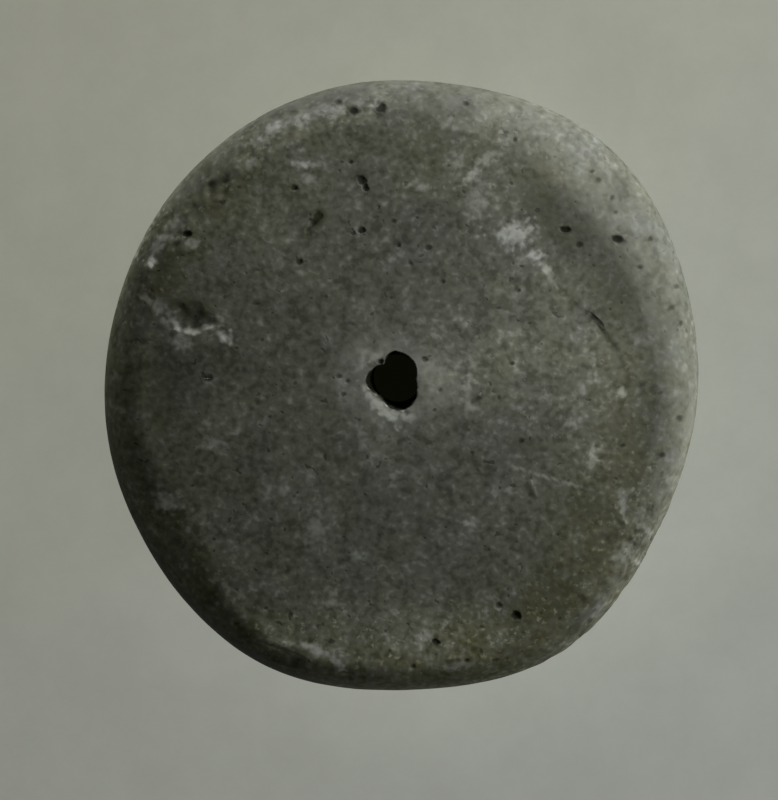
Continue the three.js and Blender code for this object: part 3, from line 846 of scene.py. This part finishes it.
def groundStone():
    material = blankMaterial("groundStone")
    tree = material.node_tree
    where = putNode(tree, "ShaderNodeTexCoord").outputs["Object"]

    def noiseOf(size, detail, rough=0.5, lobes=0.0):
        inputs = {"Vector": where, "Scale": 1 / (size * mm)}
        inputs.update({"Detail": detail, "Roughness": rough, "Distortion": lobes})
        return putNode(tree, "ShaderNodeTexNoise", inputs).outputs[0]

    def times(first, second):
        return reckon(tree, "MULTIPLY", first, second)

    def partOf(name, noise):
        # the parts given, torn by a noise
        return times(attributeOf(tree, name), mapped(tree, noise, *finish[name + "Range"]))

    def cover(colour, amount, over, blend="MIX"):
        return colourMix(tree, amount, colour, finish[over], blend)

    grain = noiseOf(finish["grainSize"], 1.5, 0.3, 0.3)
    mottle = noiseOf(finish["mottleSize"], 2)
    cloud = noiseOf(finish["cloudSize"], 2)

    # the body colour runs from dark to light with the mottles
    tone = reckon(tree, "ADD", times(grain, finish["grainShare"]), times(mottle, finish["mottleShare"]))
    tone = reckon(tree, "ADD", tone, times(cloud, finish["cloudShare"]))
    dark = mapped(tree, tone, *finish["darkRange"])
    bright = mapped(tree, tone, *finish["brightRange"])
    colour = cover(finish["deep"], dark, "middle")
    colour = cover(colour, bright, "light")

    # stains, and the paler skin that wear leaves round the hole
    colour = cover(colour, partOf("stain", mottle), "stain")
    worn = partOf("worn", mottle)
    colour = cover(colour, times(worn, finish["wornAmount"]), "light")

    # pale flecks, most of them where they crowd, and a few dark specks where grains have come out
    crowd = times(attributeOf(tree, "speckled"), finish["moreFlecks"])
    crowd = reckon(tree, "ADD", finish["fewestFlecks"], crowd)
    dots = {"Vector": where, "Scale": 1 / (finish["fleckSize"] * mm)}
    dots = putNode(tree, "ShaderNodeTexVoronoi", dots).outputs
    chance = putNode(tree, "ShaderNodeSeparateColor", {0: dots["Color"]}).outputs[0]
    chance = mapped(tree, chance, *finish["fleckChance"], smooth=False)
    torn = times(noiseOf(finish["fleckTear"], 2, 0.6), finish["fleckTorn"])
    apart = reckon(tree, "ADD", dots["Distance"], torn)
    fleck = times(mapped(tree, apart, *finish["fleckEdge"]), chance)
    colour = cover(colour, times(fleck, crowd), "pale")
    speck = mapped(tree, noiseOf(finish["speckSize"], 1), *finish["speckRange"])
    colour = cover(colour, times(speck, finish["speckAmount"]), "shadeAndDirt")

    # the olive parts, and the dusty skin over them
    colour = cover(colour, partOf("olive", mottle), "olive", "MULTIPLY")
    colour = cover(colour, partOf("dusty", mottle), "dust")

    # bruises and painted highlights on edges that face the light, then painted shade in the hole and in the
    # pits, large and small, with some dirt in the pits
    colour = cover(colour, partOf("pale", grain), "pale")
    pitted = times(attributeOf(tree, "pitted"), finish["pittedShadeAndDirt"])
    shadeAndDirt = reckon(tree, "MAXIMUM", attributeOf(tree, "hollowShadeAndDirt"), pitted)
    colour = cover(colour, mapped(tree, shadeAndDirt, *finish["shadeAndDirtRange"]), "shadeAndDirt")

    # a slight drift between cool and warm, and the broad tones with painted light and shade: the hole
    # darker, the face lighter toward the lamps on the right and darker on the left, and the rim's edges
    # lighter where they catch light and darker where they lie in shadow
    hue = mapped(tree, noiseOf(finish["hueSize"], 2), *finish["hueRange"])
    colour = colourMix(tree, 1.0, colour, colourMix(tree, hue, finish["cool"], finish["warm"]), "MULTIPLY")
    toned = vectorMath(tree, "SCALE", colour, attributeOf(tree, "broad"))

    # fine relief, with the specks sunk in
    powder = times(noiseOf(finish["powderSize"], 1), finish["powderBump"])
    height = reckon(tree, "ADD", times(grain, finish["grainBump"]), powder)
    height = reckon(tree, "SUBTRACT", height, times(speck, finish["speckBump"]))
    bump = putNode(
        tree, "ShaderNodeBump",
        {"Strength": 1.0, "Distance": finish["bumpHeight"] * mm, "Height": height},
    ).outputs[0]
    roughness = mapped(tree, worn, 0.0, 1.0, finish["roughness"], finish["polish"], smooth=False)
    shine = mapped(tree, shadeAndDirt, 0.0, 1.0, finish["shine"], finish["shadeAndDirtShine"], smooth=False)
    shadeWith(
        tree, {"Base Color": toned, "Roughness": roughness, "Normal": bump, "Specular IOR Level": shine},
    )
    return material


def storeOn(mesh, name, values):
    attribute = mesh.attributes.new(name, "FLOAT", "POINT")
    attribute.data.foreach_set("value", values.astype(np.float32))


def weatheredStone(mesh, material):
    carved = placed("carvedStone", mesh)
    modifier = carved.modifiers.new("weather", "NODES")
    tree = weatherTree(material)
    sockets = {item.name: item.identifier for item in tree.interface.items_tree if item.in_out == "INPUT"}
    modifier.node_group = tree
    for name, value in weather.items():
        modifier[sockets[name]] = value
    evaluated = carved.evaluated_get(bpy.context.evaluated_depsgraph_get())
    plain = bpy.data.meshes.new_from_object(evaluated)
    bpy.data.objects.remove(carved)
    plain.name = "whorlStone"
    return placed("whorlStone", plain)


mesh, marks = carveStone()
print("stone carved:", len(mesh.vertices), "points,", len(mesh.polygons), "triangles")
places = readVectors(mesh.vertices, "co") / mm
marks["worn"] = wornAt(places)
# some pale patches are painted highlights on edges that face the light
marks["pale"] = patchesAt(places, paleAndHighlightPatches, *patchTears["pale"])
marks["stain"] = patchesAt(places, stainPatches, *patchTears["stain"])
# painted light and shade: broad parts of the face and the rim's edges are made lighter and darker here
marks["broad"] *= 1 + broadAt(places, broadTones) + ringStrengthAt(places, rimPaintedLight)
marks["speckled"] = np.clip(broadAt(places, speckled), 0, 1)
marks["dusty"] = np.clip(broadAt(places, dusty), 0, 1)
marks["olive"] = np.clip(ringStrengthAt(places, oliveParts), 0, 1)
for name, values in marks.items():
    storeOn(mesh, name, values)

stoneFinish = groundStone()
stone = weatheredStone(mesh, stoneFinish)
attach(stone, "root")
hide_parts("whorl")
print("stone weathered:", len(stone.data.polygons), "triangles")


# The stage: a pale board, lit apart from the stone, as on a copy stand. Its reaches are in metres.
stage = {
    "boardSize": 2.4,
    "boardWarm": (0.600, 0.61, 0.505, 1),
    "boardCool": (0.586, 0.61, 0.556, 1),
    "coolToward": (0.5, -0.85, 0.0),
    "coolReach": (-0.06, 0.06),
    "paperScale": 90.0, "paperDetail": 8.0, "paperRoughness": 0.72, "paperRange": (0.3, 0.7, 0.965, 1.035),
    "roughness": 0.9, "shine": 0.2,
    # painted shadow: under the stone the board is dark, as deep shade is. It fades out below the rim, in
    # millimetres.
    "shadeWidth": (62.0, 73.0),
    "shadeColour": (0.0068, 0.0066, 0.003, 1),
    # painted light: close to the stone the board is brighter, most of all on one side
    "glow": 0.17, "glowReach": (0.036, 0.055), "glowToward": (0.2, -0.98, 0.0),
}


def paleBoard():
    half = stage["boardSize"] / 2
    mesh = bpy.data.meshes.new("board")
    corners = [(-half, -half, 0), (half, -half, 0), (half, half, 0), (-half, half, 0)]
    mesh.from_pydata(corners, [], [(0, 1, 2, 3)])
    board = placed("board", mesh)
    material = blankMaterial("paleBoard")
    tree = material.node_tree
    where = putNode(tree, "ShaderNodeTexCoord").outputs["Object"]
    away = putNode(tree, "ShaderNodeVectorMath", {0: where}, operation="LENGTH").outputs["Value"]
    inner, outer = (width / 2 * mm for width in stage["shadeWidth"])
    shade = mapped(tree, away, inner, outer, 1.0, 0.0)
    paper = {"Vector": where, "Scale": stage["paperScale"]}
    paper.update({"Detail": stage["paperDetail"], "Roughness": stage["paperRoughness"]})
    paper = putNode(tree, "ShaderNodeTexNoise", paper).outputs[0]
    brightness = mapped(tree, paper, *stage["paperRange"])
    glowSide = vectorMath(tree, "DOT_PRODUCT", where, stage["glowToward"])
    glowSide = reckon(tree, "DIVIDE", glowSide, away, clamp=True)
    near = mapped(tree, away, *stage["glowReach"], stage["glow"], 0.0)
    brightness = reckon(tree, "ADD", brightness, reckon(tree, "MULTIPLY", near, glowSide))
    drift = vectorMath(tree, "DOT_PRODUCT", where, stage["coolToward"])
    drift = mapped(tree, drift, *stage["coolReach"], smooth=False)
    card = colourMix(tree, drift, stage["boardWarm"], stage["boardCool"])
    tint = vectorMath(tree, "SCALE", card, brightness)
    colour = colourMix(tree, shade, tint, stage["shadeColour"])
    shine = mapped(tree, shade, 0.0, 1.0, stage["shine"], 0.0, smooth=False)
    shadeWith(tree, {"Base Color": colour, "Roughness": stage["roughness"], "Specular IOR Level": shine})
    mesh.materials.append(material)
    return board


# Each light's bearing and height in degrees, its distance, length and width in metres, its power in
# watts, and what it shines on
lightKeys = ("bearing", "height", "distance", "length", "width", "power", "on")
lights = {
    "key": (25, 25, 0.143, 0.07, 0.05, 0.205, "stone"),
    "graze": (75, 4.0, 0.3, 0.16, 0.02, 0.77, "stone"),
    "left": (122, 3.0, 0.3, 0.12, 0.02, 0.2, "stone"),
    "right": (328, 3.0, 0.3, 0.12, 0.02, 0.14, "stone"),
    "under": (48, -8.0, 0.3, 0.16, 0.02, 0.2, "stone"),
    "boardRight": (35, 50, 0.45, 0.3, 0.3, 1.03, "board"),
    "boardLow": (260, 50, 0.6, 0.4, 0.4, 0.48, "board"),
}
surround = {"colour": (0.95, 0.97, 0.85, 1), "strength": 0.07}


def onlyFor(name, target):
    group = bpy.data.collections.new(name)
    group.objects.link(target)
    return group


def addLights(targets):
    for name, values in lights.items():
        light = dict(zip(lightKeys, values))
        data = bpy.data.lights.new(name, "AREA")
        data.shape = "RECTANGLE"
        data.size, data.size_y = light["length"], light["width"]
        data.energy = light["power"]
        lamp = placed(name, data)
        away = towards(light["bearing"], light["height"])
        lamp.location = away * light["distance"] + Vector((0, 0, cadHigh.z))
        lamp.rotation_euler = away.to_track_quat("Z", "Y").to_euler()
        lamp.light_linking.receiver_collection = targets[light["on"]]
        lamp.light_linking.blocker_collection = targets[light["on"]]
    world = bpy.data.worlds.new("surround")
    world.use_nodes = True
    world.node_tree.nodes["Background"].inputs["Color"].default_value = surround["colour"]
    world.node_tree.nodes["Background"].inputs["Strength"].default_value = surround["strength"]
    bpy.context.scene.world = world


# The camera looks down, leaning a little to the upper right. The picture is 778 by 800 pixels.
view = {
    "lean": 4.0,
    "leanBearing": 45,
    "distance": 0.75,
    "pixel": 0.1285 * mm,  # at the stone
    "pictureWidth": 778,
    "middleX": -12.0,  # pixels from the picture's middle to the stone's, across and up
    "middleY": 14.0,
}


def addCamera(target):
    data = bpy.data.cameras.new("view")
    data.sensor_fit = "HORIZONTAL"
    frameWidth = view["pixel"] * view["pictureWidth"]
    data.lens = data.sensor_width * view["distance"] / frameWidth
    camera = placed("view", data)
    back = towards(view["leanBearing"], 90 - view["lean"])
    up = (Vector((0, 1, 0)) - back * back.y).normalized()
    across = up.cross(back)
    aim = target + (across * view["middleX"] - up * view["middleY"]) * view["pixel"]
    turned = Matrix((across, up, back)).transposed().to_4x4()
    camera.matrix_world = Matrix.Translation(aim + back * view["distance"]) @ turned
    bpy.context.scene.camera = camera


board = paleBoard()
addLights({"stone": onlyFor("litStone", stone), "board": onlyFor("litBoard", board)})
addCamera(Vector((0, 0, cadHigh.z / 2)))
bpy.context.scene.view_settings.view_transform = "Standard"
print("stage, lights and camera placed")
